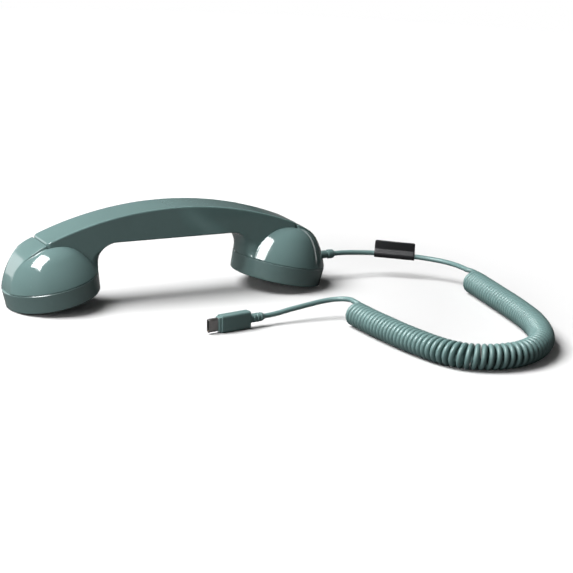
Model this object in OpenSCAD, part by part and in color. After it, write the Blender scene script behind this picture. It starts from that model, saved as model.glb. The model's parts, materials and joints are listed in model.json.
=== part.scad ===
// Telephone handset lying face down, with a curly cord and a USB-C plug.
// +X is the mouth end, where the cord leaves. +Z is up. The floor is z = 0.

/* [Cups] */
// Distance from the handset's middle to the centre of each cup's face
cup_x = 75.7; // [72:0.1:92]
// Angle by which each cup leans towards the other
cup_tilt = 11.4; // [8:0.2:14]
// Radius of a cup at its seam
cup_r = 30; // [28:0.5:36]
// How much smaller a cap's radius is at its face than at its seam
cap_draft = 0.7; // [0.2:0.1:1.5]
// Height of a cap from its face to the seam
cap_h = 11.7; // [10:0.1:15]
// Wall of a cap's side
cap_wall = 2.3; // [1.8:0.1:2.8]
// Thickness of a cap's face
face_wall = 2; // [1.5:0.1:3]
// Rounding of a cap's outer edge
cap_edge_r = 0.9; // [0.5:0.1:1.4]
// Chamfer on each side of the seam
seam_chamfer = 0.4; // [0.2:0.1:0.6]
// Height of a dome above its seam
dome_h = 22.1; // [20:0.1:28]
// Radius of the dome's side in section
dome_side_r = 50; // [45:1:70]
// Lean of the dome's side at the seam
dome_lean = 16; // [12:0.5:18]
// Radius of the dome's shoulder in section
dome_shoulder_r = 16; // [12:0.5:18]
// Length of the spigot that each dome puts into its cap
spigot_l = 6; // [4.5:0.1:7]
// Wall of that spigot
spigot_wall = 2.4; // [2:0.1:3]
// Thickness of the sealing ring between spigot and cap
ring_t = 1.5; // [1:0.1:1.7]

/* [Handle] */
// Width of the handle
handle_w = 25.5; // [23:0.5:31]
// How far the handle runs past the centre of each cup's seam
handle_over = 6.3; // [5:0.1:8]
// Height of the arch's crown above the tops of the domes
crown_rise = 20.1; // [17:0.1:25]
// How far the arch falls from its crown to each end
arch_drop = 16.6; // [14:0.1:18]
// Depth of the grip under the crown
grip_depth = 19.5; // [17.5:0.1:22]
// Radius between each neck and the underside of the grip
neck_fillet_r = 12; // [8:0.5:14]
// Radius of the flare at the foot of each neck
neck_flare_r = 24; // [14:0.5:30]
// Height of that flare
neck_flare_h = 11; // [9:0.5:13]
// Depth by which the handle sits into the top of each dome
saddle_depth = 2.9; // [2.4:0.1:4]
// Step from the handle's end down to the band behind it
end_lip = 1.5; // [0.8:0.1:2]
// How far the end band stands in from the seam's edge
end_cut = 1.3; // [0.6:0.1:1.6]
// Half width of the end band near the seam
band_foot_w = 6.3; // [4:0.1:9]
// Wall of the handle and the domes
shell_wall = 2.2; // [1.8:0.1:2.5]

/* [Grip cover and button] */
// Gap between each end of the grip cover and the start of the neck's fillet
cover_end_gap = 2; // [1:0.1:4]
// Thickness of the grip cover
cover_t = 2.2; // [1.6:0.1:2.6]
// Length of the call button
button_l = 16; // [12:0.5:20]
// Width of the call button
button_w = 7; // [5:0.5:8.4]
// How far the button stands out of the cover
button_proud = 1; // [0.8:0.1:1.5]
// Travel of the button
button_travel = 0.6; // [0.4:0.1:0.8]
// Thickness of the button's inner flange
flange_t = 1; // [0.8:0.1:1.4]
// Length of the switch plunger
plunger_l = 1.6; // [1.3:0.1:2]
// Gap between moving pieces
play = 0.3; // [0.25:0.05:0.4]
// Gap between fixed pieces that fit into each other
fit_gap = 0.15; // [0.05:0.05:0.2]

/* [Electronics] */
// Gap between each end of the board and the cover's screw posts
board_end_gap = 2.4; // [1:0.1:4]
// Width of the circuit board
board_w = 18; // [16:0.5:18.5]
// Thickness of the circuit board
board_t = 1.6; // [1:0.1:1.6]
// Radius of the speaker's flange
speaker_r = 25.5; // [25:0.1:26]
// Radius of the speaker's magnet
magnet_r = 12; // [9:0.5:13]
// Height of the speaker's magnet
magnet_h = 5; // [3:0.5:6]
// Radius of the microphone capsule
mic_r = 4.85; // [3:0.05:5.5]
// Height of the microphone capsule
mic_h = 5; // [3:0.5:6]
// Thickness of the acoustic cloths
cloth_t = 0.4; // [0.3:0.1:0.6]
// Thickness of the speaker's gasket and of the pad under the microphone holder
gasket_t = 1; // [0.8:0.1:1.2]

/* [Sound holes] */
// Radius of a sound hole
hole_r = 1.1; // [0.6:0.1:1.5]
// Distance between the rings of sound holes
hole_pitch = 4.6; // [4:0.2:5]
// Rings of holes in the ear cap
ear_hole_rings = 3; // [1:1:4]
// Rings of holes in the mouth cap
mouth_hole_rings = 2; // [1:1:4]

/* [Screws] */
// Radius of a screw's shank
screw_r = 1; // [0.8:0.1:1.2]
// Radius of a screw's head
screw_head_r = 1.9; // [1.6:0.1:2.1]
// Height of a screw's head
screw_head_h = 1.2; // [0.9:0.1:1.4]
// Radius of a screw boss
boss_r = 2.6; // [2.3:0.1:3]

/* [Cord and plug] */
// Diameter of the cord
cord_d = 3.2; // [2.8:0.1:3.4]
// Diameter over the turns of the curly part
coil_d = 15.3; // [14:0.1:15.3]
// Radius of the boot where the cord leaves the cup
boot_r = 2.9; // [2.5:0.1:3.2]
// Length of the flag label along the cord
label_l = 24; // [18:0.5:24]
// Height of the label's tab above the cord's centre
label_h = 7.6; // [5:0.1:9]
// Radius of the label's loop round the cord
label_r = 2.9; // [2.4:0.1:3.2]
// Thickness of the label's tab
label_t = 1.4; // [1:0.1:2]
// Height of the plug's body, which stands on its narrow edge
plug_h = 10.6; // [9.6:0.1:12]
// Thickness of the plug's body
plug_t = 6.2; // [5:0.1:6.5]
// Length of the plug's body
plug_l = 22; // [18:0.5:24]
// Radius of the plug's strain relief
relief_r = 2.6; // [2.2:0.1:2.8]
// Length of the plug's strain relief
relief_l = 10; // [8:0.5:12]

/* [Hidden] */

$fn = 96;
big = 400;      // larger than the whole object, for cuts
eps = 0.01;     // overlap that keeps a cut clean
ear = -1;
mouth = 1;
sides = [ear, mouth];

green = [0.48, 0.60, 0.59];
dark_green = [0.33, 0.43, 0.43];
black = [0.06, 0.06, 0.07];

// Cup placing
face_r = cup_r - cap_draft;
cup_lift = (face_r - cap_edge_r) * sin(cup_tilt) + cap_edge_r * (1 - cos(cup_tilt));
seam_x = cup_x + cap_h * sin(cup_tilt);
seam_z = cup_lift + cap_h * cos(cup_tilt);
dome_top_z = cup_lift + (cap_h + dome_h) * cos(cup_tilt);

// Handle
half_w = handle_w / 2;
inner_half_w = half_w - shell_wall;
handle_end = seam_x + handle_over;
crown_z = dome_top_z + crown_rise;
end_z = crown_z - arch_drop;
arch_r = (handle_end * handle_end + arch_drop * arch_drop) / (2 * arch_drop);
grip_z = crown_z - grip_depth;
saddle_z = dome_top_z - saddle_depth;
neck_round_r = cup_r * cos(cup_tilt);
neck_x = seam_x - sqrt(neck_round_r * neck_round_r - half_w * half_w);
neck_back = neck_x + 7;
fillet_x = neck_x - neck_fillet_r;
fillet_z = grip_z - neck_fillet_r;
flare_top_z = seam_z + cup_r * sin(cup_tilt) - 1 + neck_flare_h;

// End band, an arc in side view
end_arc_back = 2.5;
end_arc_x = seam_x - end_arc_back;
end_arc_r = neck_round_r - end_cut + end_arc_back;
end_arc_z = end_z - end_lip - sqrt(pow(end_arc_r, 2) - pow(handle_end - end_arc_x, 2));

// Dome section: a side arc and a shoulder arc that touch, then a flat top
side_cx = cup_r - dome_side_r * cos(dome_lean);
side_cz = -dome_side_r * sin(dome_lean);
shoulder_cz = dome_h - dome_shoulder_r;
shoulder_cx = side_cx + sqrt(pow(dome_side_r - dome_shoulder_r, 2) - pow(shoulder_cz - side_cz, 2));
knee = atan2(shoulder_cz - side_cz, shoulder_cx - side_cx);

// Fits between cap and dome
cap_bore_r = face_r - cap_wall;
spigot_r = cap_bore_r - fit_gap;
spigot_in_r = spigot_r - spigot_wall;
spigot_z = cap_h - spigot_l;
groove_r = cap_bore_r - ring_t;
groove_z = cap_h - spigot_l / 2;
flange_h = 2;

// Handle inside, from the grip cover upwards
cover_top = grip_z + cover_t;
button_top = cover_top + play + flange_t;
switch_z = button_top + button_travel + play;
board_z = button_top + plunger_l + button_travel + play;
board_top = board_z + board_t;
plunger_r = 1.5;
switch_w = 6;
cover_half = fillet_x - cover_end_gap;
cover_screw_x = cover_half - 4.5;
cover_screw_y = inner_half_w - 3.5;
board_l = 2 * (cover_screw_x - boss_r - board_end_gap);
board_screw_x = board_l / 2 - 5;
board_screw_y = board_w / 2 - 3;
dome_screw_x = seam_x - 6;
dome_screw_y = 6.5;
dome_screw_l = 6;
wire_hole_x = neck_back + 4;
wire_hole_r = 3;
arch_at = function(x) crown_z - arch_r + sqrt(arch_r * arch_r - x * x);

// Stack on each cap's face
cloth_top = face_wall + cloth_t;
stack_z = cloth_top + gasket_t;
basket_r = 15;
basket_top = stack_z + 9.5;
clamp_x = 15;
clamp_z = 11;
core_r = 1.3;

// Routes in millimetres, chosen by hand. The cord leaves the mouth end and curls on the floor.
lead_route = [[118, 0, 16.4], [123, 0, 16.4], [130, -0.2, 16.1], [137, -1, 15.7], [143, -2.3, 15.4],
  [148, -4.5, 15.2], [167, -18.5, 14.8], [172, -22.5, 14.5], [177, -27.5, 14.2], [181.5, -34, 14],
  [184.8, -42, 13.8], [186, -50, 13.7], [186, -57, 13.7]];
coil_z = coil_d / 2;
coil_route = [[186, -57], [186, -68], [183, -90], [180, -112], [176.5, -134], [172, -154],
  [165.5, -172], [156.5, -188], [144, -200], [130, -207], [118, -208], [106.5, -205.5],
  [96.5, -199], [90, -188], [86, -173], [83, -155], [81, -136], [79.8, -120], [79.2, -108],
  [79.2, -97]];
tail_route = [[81.2, -97, 13.3], [81.2, -92.5, 13.3], [78.6, -87, 12.6], [73.5, -83.3, 11.7],
  [67, -81.8, 10.8], [60, -81.6, 9.8], [52.5, -81.8, 8.8], [45, -82.1, 7.8], [38, -82.6, 6.7],
  [32, -83.2, 6.12], [26, -84, 6]];
label_from = 5;  // the label lies on the straight stretch after this point of the lead

// The cord's way out of the mouth cup
exit_z = lead_route[0][2];
exit_wall_x = end_arc_x + sqrt(pow(end_arc_r, 2) - pow(exit_z - end_arc_z, 2));
boot_inside = 3.5;  // how far the boot reaches in from the wall
boot_back_x = exit_wall_x - shell_wall - boot_inside;

// Metal shell of a standard USB-C plug
shell_h = 8.34;
shell_t = 2.56;
shell_l = 6.65;
shell_metal = 0.3;

// The plug lies in line with the tail's last stretch
tail_end = tail_route[len(tail_route) - 1];
plug_run = tail_end - tail_route[len(tail_route) - 2];
plug_yaw = atan2(plug_run[1], plug_run[0]);
plug_pitch = -asin(plug_run[2] / norm(plug_run));

// A point on one side of the handset, given as for the mouth end
function flip(points, side) = [for (p = points) [side * p[0], p[1], p[2]]];
function shift_y(points, dy) = [for (p = points) [p[0], p[1] + dy, p[2]]];
function unit(v) = v / norm(v);
function heading(pts, i) = unit(pts[min(i + 1, len(pts) - 1)] - pts[max(i - 1, 0)]);
function across(t) = unit(cross(t, abs(t[2]) > 0.9 ? [0, 1, 0] : [0, 0, 1]));
function ring(p, t, r, n) = let (a = across(t), b = cross(a, t))
  [for (k = [0 : n - 1]) p + r * (cos(360 * k / n) * a + sin(360 * k / n) * b)];

// A tube through a list of points, with a flat end at each end
module tube(pts, r, n = 8) {
  m = len(pts);
  rings = [for (i = [0 : m - 1]) each ring(pts[i], heading(pts, i), r, n)];
  walls = [for (i = [0 : m - 2], k = [0 : n - 1])
    [i * n + k, i * n + (k + 1) % n, (i + 1) * n + (k + 1) % n, (i + 1) * n + k]];
  first = [for (k = [n - 1 : -1 : 0]) k];
  last = [for (k = [0 : n - 1]) (m - 1) * n + k];
  polyhedron(rings, concat([first, last], walls), convexity = 10);
}

// Puts children on a cup's axis, with z = 0 at the face and +z into the cup
module at_cup(side) {
  mirror([side < 0 ? 1 : 0, 0, 0])
    translate([cup_x, 0, cup_lift])
      rotate([0, cup_tilt, 0]) children();
}

module for_side(side) {
  mirror([side < 0 ? 1 : 0, 0, 0]) children();
}

// Extrudes a side view (x, z) along Y, centred
module side_view(width) {
  rotate([90, 0, 0]) linear_extrude(width, center = true) children();
}

module disc(r, z0, z1) {
  translate([0, 0, z0]) cylinder(r = r, h = z1 - z0);
}

module tube_ring(r_out, r_in, z0, z1) {
  difference() {
    disc(r_out, z0, z1);
    disc(r_in, z0 - 1, z1 + 1);
  }
}

// Everything below the seam of one cup
module below_seam(side) {
  at_cup(side) translate([0, 0, cap_h - 60]) cylinder(r = 60, h = 60);
}

module screw(length, head_r = screw_head_r, shank_r = screw_r) {
  difference() {
    union() {
      translate([0, 0, -screw_head_h]) cylinder(r = head_r, h = screw_head_h);
      cylinder(r = shank_r, h = length);
    }
    for (a = [0, 90])
      rotate([0, 0, a]) translate([0, 0, -screw_head_h]) cube([head_r * 1.3, 0.5, 1.1], center = true);
  }
}

// ---- Domes ----
// Half section of a dome, shrunk by inset
module dome_section(inset) {
  r_side = dome_side_r - inset;
  r_top = dome_shoulder_r - inset;
  start = asin(-side_cz / r_side);
  steps = 8;
  chamfer = inset > 0 ? 0 : seam_chamfer;
  foot_r = side_cx + r_side * cos(start);
  rise = [for (i = [1 : steps]) let (a = start + (knee - start) * i / steps)
    [side_cx + r_side * cos(a), side_cz + r_side * sin(a)]];
  shoulder = [for (i = [1 : steps]) let (a = knee + (90 - knee) * i / steps)
    [shoulder_cx + r_top * cos(a), shoulder_cz + r_top * sin(a)]];
  polygon(concat([[0, 0], [foot_r - chamfer, 0], [foot_r - chamfer / 8, chamfer + eps]],
    rise, shoulder, [[0, dome_h - inset]]));
}

// Region in side view that the end band allows
module end_limit(side, inset) {
  for_side(side) side_view(big) {
    translate([end_arc_x, end_arc_z]) circle(r = end_arc_r - inset, $fn = 180);
    translate([end_arc_x - big, -big / 2]) square(big);
  }
}

// The flat band behind each end of the handle, which narrows towards the seam
module end_band(side, inset) {
  half = half_w - inset;
  foot = band_foot_w - inset;
  knee_z = saddle_z - 5;
  difference() {
    for_side(side) translate([end_arc_x, 0, 0]) rotate([90, 0, 90]) linear_extrude(end_arc_r + 5)
      polygon([[-foot, 0], [foot, 0], [foot, saddle_z - 13], [half * 0.78, knee_z], [half, saddle_z],
        [half, end_z], [-half, end_z], [-half, saddle_z], [-half * 0.78, knee_z], [-foot, saddle_z - 13]]);
    below_seam(side);
  }
}

// Outside of a dome, or its inside when shrunk by inset
module dome_form(side, inset) {
  intersection() {
    union() {
      at_cup(side) translate([0, 0, cap_h]) rotate_extrude() dome_section(inset);
      end_band(side, inset);
    }
    end_limit(side, inset);
  }
}

// Place that the handle takes out of the top of both domes
module saddle_cut(grow) {
  translate([-handle_end - grow, -half_w - grow, saddle_z - grow])
    cube([2 * (handle_end + grow), handle_w + 2 * grow, big]);
}

module dome(side) {
  difference() {
    union() {
      difference() {
        dome_form(side, 0);
        difference() {
          dome_form(side, shell_wall);
          saddle_cut(shell_wall);
        }
        saddle_cut(0);
      }
      difference() {
        intersection() {
          dome_form(side, 0);
          at_cup(side) disc(cup_r + 1, cap_h, cap_h + flange_h);
        }
        at_cup(side) disc(spigot_in_r, 0, cap_h + flange_h + 1);
      }
      at_cup(side) tube_ring(spigot_r, spigot_in_r, spigot_z, cap_h + 1);
    }
    at_cup(side) tube_ring(spigot_r + 1, groove_r, groove_z - ring_t / 2, groove_z + ring_t / 2);
    for_side(side) {
      translate([wire_hole_x, 0, saddle_z - 10]) cylinder(r = wire_hole_r, h = 20);
      for (y = [-dome_screw_y, dome_screw_y])
        translate([dome_screw_x, y, saddle_z - 6]) cylinder(r = screw_r + fit_gap, h = 12);
    }
  }
}

module ear_dome() {
  color(green) dome(ear);
}

module mouth_dome() {
  color(green) difference() {
    dome(mouth);
    translate([cup_x, 0, exit_z]) rotate([0, 90, 0]) cylinder(r = boot_r, h = 60);
  }
}

// ---- Caps ----
module cap_section() {
  arc = [for (i = [0 : 4]) let (a = -90 + 22.5 * i)
    [face_r - cap_edge_r + cap_edge_r * cos(a), cap_edge_r + cap_edge_r * sin(a)]];
  polygon(concat([[0, 0]], arc, [[cup_r - seam_chamfer / 8, cap_h - seam_chamfer],
    [cup_r - seam_chamfer, cap_h], [0, cap_h]]));
}

module sound_holes(rings) {
  for (k = [1 : rings], i = [0 : 6 * k - 1])
    rotate([0, 0, i * 60 / k]) translate([k * hole_pitch, 0, -1]) cylinder(r = hole_r, h = 10, $fn = 32);
}

module cap(side, rings) {
  at_cup(side) difference() {
    rotate_extrude() cap_section();
    disc(cap_bore_r, face_wall, cap_h + 1);
    sound_holes(rings);
  }
}

module ear_cap() {
  color(dark_green) cap(ear, ear_hole_rings);
}

module mouth_cap() {
  color(dark_green) cap(mouth, mouth_hole_rings);
}

module cloth(side) {
  at_cup(side) disc(cap_bore_r - 1, face_wall, cloth_top);
}

module ear_cloth() {
  color(black) cloth(ear);
}

module mouth_cloth() {
  color(black) cloth(mouth);
}

module cap_rings() {
  color(black) for (side = sides)
    at_cup(side) rotate_extrude()
      translate([groove_r + ring_t / 2, groove_z]) circle(r = ring_t / 2, $fn = 24);
}

// ---- Handle ----
// Side view of the space under the grip, grown by a wall
module gap_view(grow) {
  translate([-neck_x - grow, -big]) square([2 * (neck_x + grow), big + fillet_z]);
  translate([-fillet_x, -big]) square([2 * fillet_x, big + grip_z + grow]);
  for (s = sides) translate([s * fillet_x, fillet_z]) circle(r = neck_fillet_r + grow);
}

// Side view of the handle from its arch down to the domes and necks
module bar_view(inset) {
  end = handle_end - inset;
  difference() {
    intersection() {
      translate([0, crown_z - arch_r]) circle(r = arch_r - inset, $fn = 360);
      union() {
        translate([-end, saddle_z - (inset > 0 ? 1 : 0)]) square([2 * end, big]);
        translate([-neck_back, fillet_z]) square([2 * neck_back, big]);
      }
    }
    gap_view(inset);
  }
}

// Front view (y, z) of a neck: straight above, flaring towards the seam
module neck_view(inset) {
  steps = 8;
  depth = min(neck_flare_h, neck_flare_r - 1);
  half = function(z) half_w - inset
    + (z < flare_top_z ? neck_flare_r - sqrt(pow(neck_flare_r, 2) - pow(flare_top_z - z, 2)) : 0);
  right = [for (i = [0 : steps]) let (z = flare_top_z - depth + depth * i / steps) [half(z), z]];
  foot_z = seam_z - 10;
  foot = half(flare_top_z - depth);
  polygon(concat([[foot, foot_z]], right, [[half_w - inset, saddle_z + 1], [inset - half_w, saddle_z + 1]],
    [for (i = [steps : -1 : 0]) [-right[i][0], right[i][1]]], [[-foot, foot_z]]));
}

module neck(side, inset) {
  round_r = neck_round_r - inset;
  for_side(side) intersection() {
    rotate([90, 0, 90]) linear_extrude(neck_back) neck_view(inset);
    union() {
      translate([seam_x, 0, 0]) cylinder(r = round_r, h = fillet_z + neck_fillet_r * 0.72);
      translate([neck_x + inset, -big / 2, 0]) cube(big);
    }
  }
}

module bosses() {
  for (s = sides) {
    for (y = [-cover_screw_y, cover_screw_y])
      translate([s * cover_screw_x, y, cover_top]) boss(arch_at(cover_screw_x) - cover_top);
    for (y = [-board_screw_y, board_screw_y])
      translate([s * board_screw_x, y, board_top]) boss(arch_at(board_screw_x) - board_top);
    for (y = [-dome_screw_y, dome_screw_y])
      translate([s * dome_screw_x, y, saddle_z]) boss(arch_at(dome_screw_x) - saddle_z);
  }
}

// A post that hangs from the inside of the arch, with a pilot bore from below
module boss(h) {
  difference() {
    cylinder(r = boss_r, h = h - shell_wall / 2);
    translate([0, 0, -1]) cylinder(r = screw_r, h = dome_screw_l + 1);
  }
}

module handle_shell() {
  color(green) {
    difference() {
      union() {
        side_view(handle_w) bar_view(0);
        for (s = sides) neck(s, 0);
      }
      side_view(2 * inner_half_w) bar_view(shell_wall);
      for (s = sides) {
        neck(s, shell_wall);
        below_seam(s);
        intersection() {
          dome_form(s, 0);
          translate([-big / 2, -big / 2, saddle_z - big]) cube(big);
        }
      }
      translate([-cover_half - fit_gap, -inner_half_w, grip_z - 1])
        cube([2 * (cover_half + fit_gap), 2 * inner_half_w, shell_wall + 2]);
    }
    bosses();
  }
}

// ---- Grip cover, button and switch ----
module stadium(l, w, h) {
  for (s = sides) translate([s * (l - w) / 2, 0, 0]) cylinder(r = w / 2, h = h);
  translate([-(l - w) / 2, -w / 2, 0]) cube([l - w, w, h]);
}

module grip_cover() {
  width = 2 * (inner_half_w - fit_gap);
  color(green) difference() {
    translate([-cover_half, -width / 2, grip_z]) cube([2 * cover_half, width, cover_t]);
    translate([0, 0, grip_z - 1]) stadium(button_l + 2 * play, button_w + 2 * play, cover_t + 2);
    for (s = sides, y = [-cover_screw_y, cover_screw_y]) translate([s * cover_screw_x, y, grip_z - 1]) {
      cylinder(r = screw_r + fit_gap, h = cover_t + 2);
      cylinder(r = screw_head_r + fit_gap, h = screw_head_h + 1);
    }
  }
}

module call_button() {
  color(dark_green) {
    translate([0, 0, grip_z - button_proud]) stadium(button_l, button_w, button_top - grip_z + button_proud);
    translate([0, 0, button_top - flange_t]) stadium(button_l + 2.4, button_w + 2.4, flange_t);
  }
}

module switch_plunger() {
  color(black) translate([0, 0, button_top]) cylinder(r = plunger_r, h = plunger_l);
}

module tact_switch() {
  color("silver") difference() {
    translate([-switch_w / 2, -switch_w / 2, switch_z]) cube([switch_w, switch_w, board_z - switch_z]);
    translate([0, 0, switch_z - 1]) cylinder(r = plunger_r + play, h = board_z - switch_z + 2);
  }
}

module cover_screws() {
  color("silver") for (s = sides, y = [-cover_screw_y, cover_screw_y])
    translate([s * cover_screw_x, y, grip_z + screw_head_h]) screw(cover_t - screw_head_h + 5);
}

// ---- Board ----
module main_board() {
  color("darkgreen") difference() {
    translate([-board_l / 2, -board_w / 2, board_z]) cube([board_l, board_w, board_t]);
    for (s = sides, y = [-board_screw_y, board_screw_y])
      translate([s * board_screw_x, y, board_z - 1]) cylinder(r = screw_r + fit_gap, h = board_t + 2);
  }
}

module controller_chips() {
  color(black) translate([0, 0, board_top]) {
    translate([-3.5, -3.5, 0]) cube([7, 7, 1]);
    translate([8, -2, 0]) cube([5, 5, 0.9]);
    translate([-13, -1, 0]) cube([4, 5, 0.9]);
    translate([8, -7, 0]) cube([3, 3, 1.2]);
  }
}

module wire_sockets() {
  color("ivory") for (s = sides) difference() {
    translate([s * (board_l / 2 - 3) - 3, -3.2, board_top]) cube([6, 6.4, 3.4]);
    translate([s * (board_l / 2 + 0.5) - 2.5, -2.7, board_top + 0.6]) cube([5, 5.4, 2.2]);
  }
}

module board_screws() {
  color("silver") for (s = sides, y = [-board_screw_y, board_screw_y])
    translate([s * board_screw_x, y, board_z]) screw(board_t + 4.5);
}

module dome_screws() {
  color("silver") for (s = sides, y = [-dome_screw_y, dome_screw_y])
    translate([s * dome_screw_x, y, saddle_z - shell_wall]) screw(shell_wall + 4.5);
}

// ---- Speaker ----
module speaker_gasket() {
  color(black) at_cup(ear) tube_ring(speaker_r, speaker_r - 4, cloth_top, stack_z);
}

module speaker_frame() {
  lip = 1.6;
  color("silver") at_cup(ear) rotate_extrude() polygon([[speaker_r - 3, stack_z], [speaker_r, stack_z],
    [speaker_r, spigot_z], [speaker_r - 2, spigot_z], [basket_r, basket_top - lip],
    [magnet_r, basket_top - lip], [magnet_r, basket_top], [0, basket_top], [0, basket_top - 2 * lip],
    [basket_r - 2, basket_top - 2 * lip], [speaker_r - 3, spigot_z - 1]]);
}

module speaker_cone() {
  foot = stack_z + 0.4;
  color([0.2, 0.2, 0.2]) at_cup(ear) rotate_extrude() polygon([[speaker_r - 3, foot],
    [speaker_r - 3, foot + 0.5], [8, foot + 4], [5, foot + 2.6], [0, foot + 2.2], [0, foot + 1.7],
    [5, foot + 2.1], [8, foot + 3.4]]);
}

module speaker_magnet() {
  color("dimgray") at_cup(ear) disc(magnet_r, basket_top, basket_top + magnet_h);
}

module speaker_terminals() {
  color("tan") at_cup(ear) for (y = [-2.5, 2.5])
    translate([-magnet_r - 3.2, y - 1, basket_top - 1.6]) cube([2.6, 2, 3]);
}

// ---- Microphone ----
module mic_pad() {
  color(black) at_cup(mouth) tube_ring(speaker_r, speaker_r - 4, cloth_top, stack_z);
}

module mic_holder() {
  color("whitesmoke") at_cup(mouth) difference() {
    union() {
      disc(speaker_r, stack_z, spigot_z);
      disc(mic_r + 2.6, stack_z, stack_z + mic_h);
      for (y = [-5, 5]) translate([clamp_x, y, 0]) disc(2.2, stack_z, clamp_z - core_r - 0.2);
    }
    disc(mic_r + 1.2, stack_z - 1, stack_z + mic_h + 1);
    for (y = [-5, 5]) translate([clamp_x, y, 0]) disc(screw_r, spigot_z, clamp_z);
  }
}

module mic_boot() {
  color(black) at_cup(mouth) tube_ring(mic_r + 1.2, mic_r, stack_z, stack_z + mic_h);
}

module mic_capsule() {
  color("silver") at_cup(mouth) disc(mic_r, stack_z, stack_z + mic_h - 0.5);
}

// ---- Cable clamp and inner wires ----
module cable_clamp() {
  color("whitesmoke") at_cup(mouth) difference() {
    translate([clamp_x - 3.5, -7.5, clamp_z - core_r - 0.2]) cube([7, 15, 2 * core_r + 1.8]);
    translate([clamp_x - 5, 0, clamp_z]) rotate([0, 90, 0]) cylinder(r = core_r, h = 10);
    translate([clamp_x - 5, -core_r, clamp_z - 5]) cube([10, 2 * core_r, 5]);
    for (y = [-5, 5]) translate([clamp_x, y, 0]) disc(screw_r + fit_gap, 0, 20);
  }
}

module clamp_screws() {
  top = clamp_z + core_r + 1.6;
  color("silver") at_cup(mouth) for (y = [-5, 5])
    translate([clamp_x, y, top]) rotate([180, 0, 0]) screw(5.5);
}

// Inner routes, given for the mouth end and mirrored for the ear end
socket_mouth = [board_l / 2 + 0.5, 0, board_top + 1.7];
socket_back = [board_l / 2 - 2, 0, board_top + 1.7];
up_route = [[wire_hole_x - 0.5, 0, saddle_z - 9], [wire_hole_x, 0, saddle_z - 1],
  [wire_hole_x - 1, 0, saddle_z + 4], [wire_hole_x - 7, 0, saddle_z + 9], [neck_x - 5, 0, board_top + 1.5]];

module speaker_wires() {
  start = [[wire_hole_x - 1.5, 0, seam_z + 4]];
  color("firebrick") for (y = [-1.2, 1.2])
    tube(shift_y(flip(concat(start, up_route, [socket_back]), ear), y), 0.5);
}

module mic_wires() {
  start = [[cup_x + 4, 0, seam_z - 1], [cup_x - 2, 0, seam_z + 4]];
  color("royalblue") for (y = [-2.2, 2.2])
    tube(shift_y(concat(start, up_route, [socket_back]), y), 0.45);
}

module inner_lead() {
  in_cup = function(x, z) [cup_x + x * cos(cup_tilt) + z * sin(cup_tilt), 0,
    cup_lift - x * sin(cup_tilt) + z * cos(cup_tilt)];
  color(dark_green) tube(concat([[boot_back_x, 0, exit_z], [boot_back_x - 1, 0, exit_z],
    in_cup(clamp_x + 5, clamp_z), in_cup(clamp_x - 5, clamp_z), in_cup(4, clamp_z + 4)], up_route, [socket_mouth]),
    core_r - 0.05);
}

// ---- Cord outside ----
module cord_boot() {
  end = lead_route[0][0] - boot_back_x;
  color(dark_green) translate([boot_back_x, 0, exit_z]) rotate([0, 90, 0]) {
    disc(boot_r, 0, end - 4.6);
    disc(boot_r + 1.2, 0, 1.2);
    disc(boot_r - 0.5, end - 4.7, end - 3.4);
    disc(boot_r, end - 3.5, end - 1.5);
    translate([0, 0, end - 1.6]) cylinder(r1 = boot_r - 0.3, r2 = cord_d / 2 + 0.3, h = 1.6);
  }
}

module cord_lead() {
  color(green) tube(lead_route, cord_d / 2);
}

module cord_coil() {
  color(green) tube([for (p = coil_route) [p[0], p[1], coil_z]], coil_d / 2, 12);
}

module cord_tail() {
  color(green) tube(tail_route, cord_d / 2);
}

module cord_label() {
  from = lead_route[label_from];
  to = lead_route[label_from + 1];
  run = to - from;
  span = norm(run);
  color(black) translate(from) rotate([0, -asin(run[2] / span), atan2(run[1], run[0])])
    translate([(span - label_l) / 2, 0, 0]) difference() {
      union() {
        rotate([0, 90, 0]) cylinder(r = label_r, h = label_l);
        translate([0, -label_t / 2, 0]) cube([label_l, label_t, label_h]);
      }
      translate([-1, 0, 0]) rotate([0, 90, 0]) cylinder(r = cord_d / 2 + 0.05, h = label_l + 2);
    }
}

// ---- Plug ----
// Places children at the tail's end, with +x out of the plug's mouth
module at_plug() {
  translate(tail_end) rotate([0, plug_pitch, plug_yaw]) children();
}

// A bar with round narrow edges, standing on one of them
module standing_bar(length, height, thick) {
  for (s = sides) translate([0, 0, s * (height - thick) / 2]) rotate([0, 90, 0])
    cylinder(r = thick / 2, h = length);
  translate([0, -thick / 2, -(height - thick) / 2]) cube([length, thick, height - thick]);
}

module plug_relief() {
  color(dark_green) at_plug() rotate([0, 90, 0]) {
    disc(relief_r - 0.4, 0, relief_l);
    disc(relief_r, 0, 2.4);
    disc(relief_r, 3.2, 4.8);
    disc(relief_r, 5.6, relief_l);
  }
}

module plug_body() {
  front = relief_l + plug_l;
  color(dark_green) at_plug() difference() {
    union() {
      translate([relief_l, 0, 0]) standing_bar(plug_l - 1, plug_h, plug_t);
      translate([front - 1 - eps, 0, 0]) standing_bar(1 + eps, plug_h - 0.8, plug_t - 0.8);
    }
    translate([front - 4, 0, 0]) standing_bar(5, shell_h, shell_t);
  }
}

module plug_shell() {
  color("silver") at_plug() translate([relief_l + plug_l - 4, 0, 0]) difference() {
    standing_bar(shell_l + 4, shell_h, shell_t);
    translate([1, 0, 0]) standing_bar(shell_l + 4, shell_h - 2 * shell_metal, shell_t - 2 * shell_metal);
  }
}

contact_t = 0.1;
carrier_t = 0.35;

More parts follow.
